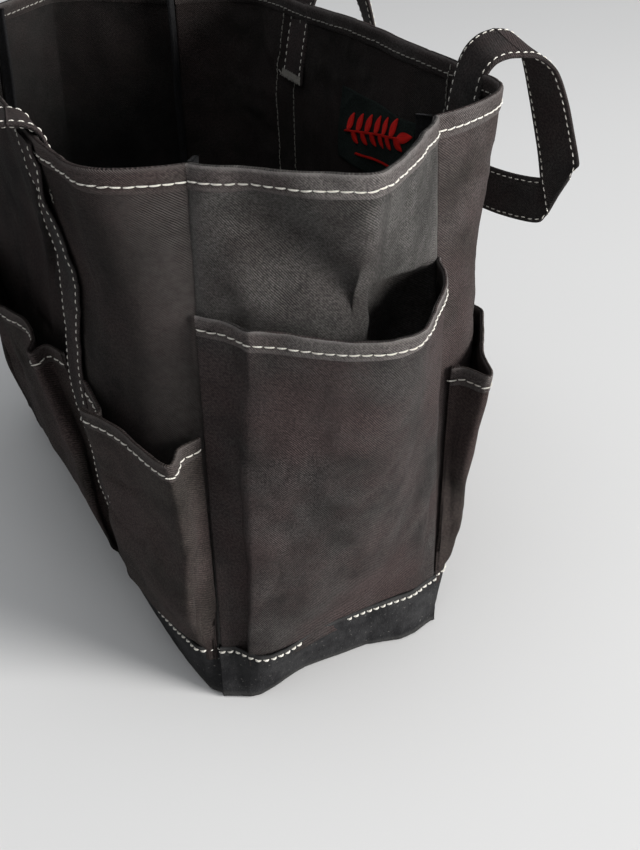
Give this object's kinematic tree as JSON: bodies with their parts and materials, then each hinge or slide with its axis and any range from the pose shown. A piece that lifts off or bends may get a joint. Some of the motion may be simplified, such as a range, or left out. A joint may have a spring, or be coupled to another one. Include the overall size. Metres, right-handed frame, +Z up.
{
  "type": "garden tool bag",
  "caption": "Open-top canvas tool bag with pleated outside pockets, a reinforced base and two soft carrying straps.",
  "frame": {"origin": "centre of the flat base, on the surface the bag stands on", "axes": "+Z up, +X along the long side, -Y is the front wall"},
  "size_m": [0.4962, 0.3311, 0.3135],
  "materials": {
    "canvas": "washed heavy twill canvas",
    "base_canvas": "coarse brushed canvas",
    "strap_canvas": "folded canvas strap, two rows of stitching",
    "binding_tape": "plain cotton tape",
    "thread": "thick cotton thread",
    "woven_label": "woven damask patch"
  },
  "bodies": {
    "bag": {"front_panel": "canvas", "rear_panel": "canvas", "right_gusset": "canvas", "left_gusset": "canvas", "bottom_panel": "canvas", "front_left_pocket": "canvas", "front_middle_pocket": "canvas", "front_right_pocket": "canvas", "rear_left_pocket": "canvas", "rear_middle_pocket": "canvas", "rear_right_pocket": "canvas", "right_end_pocket": "canvas", "left_end_pocket": "canvas", "base_cover": "base_canvas", "front_left_strap": "strap_canvas", "front_right_strap": "strap_canvas", "rear_left_strap": "strap_canvas", "rear_right_strap": "strap_canvas", "front_left_handle_tail": "strap_canvas", "front_right_handle_tail": "strap_canvas", "rear_left_handle_tail": "strap_canvas", "rear_right_handle_tail": "strap_canvas", "front_right_seam_binding": "binding_tape", "rear_right_seam_binding": "binding_tape", "rear_left_seam_binding": "binding_tape", "front_left_seam_binding": "binding_tape", "handle_bar_tacks": "thread", "inside_label": "woven_label"},
    "front_bend": {"front_handle_bend": "strap_canvas"},
    "front_loop": {"front_handle_loop": "strap_canvas"},
    "rear_bend": {"rear_handle_bend": "strap_canvas"},
    "rear_loop": {"rear_handle_loop": "strap_canvas"}
  },
  "joints": [
    {"name": "front_handle_lift", "type": "hinge", "parent": "bag", "child": "front_bend", "pos_m": [0, -0.10833, 0.30507], "axis": [-1, 0, 0], "range_deg": [0, 90]},
    {"name": "front_handle_unfold", "type": "hinge", "parent": "front_bend", "child": "front_loop", "pos_m": [0, -0.12322, 0.30531], "axis": [-1, 0, 0], "range_deg": [0, 90]},
    {"name": "rear_handle_lift", "type": "hinge", "parent": "bag", "child": "rear_bend", "pos_m": [0, 0.12563, 0.30497], "axis": [1, 0, 0], "range_deg": [0, 86]},
    {"name": "rear_handle_unfold", "type": "hinge", "parent": "rear_bend", "child": "rear_loop", "pos_m": [0, 0.16468, 0.30818], "axis": [1, 0, 0], "range_deg": [0, 86]}
  ],
  "couplings": [
    {"joint": "front_handle_unfold", "follows": "front_handle_lift", "ratio": 1},
    {"joint": "rear_handle_unfold", "follows": "rear_handle_lift", "ratio": 1}
  ]
}
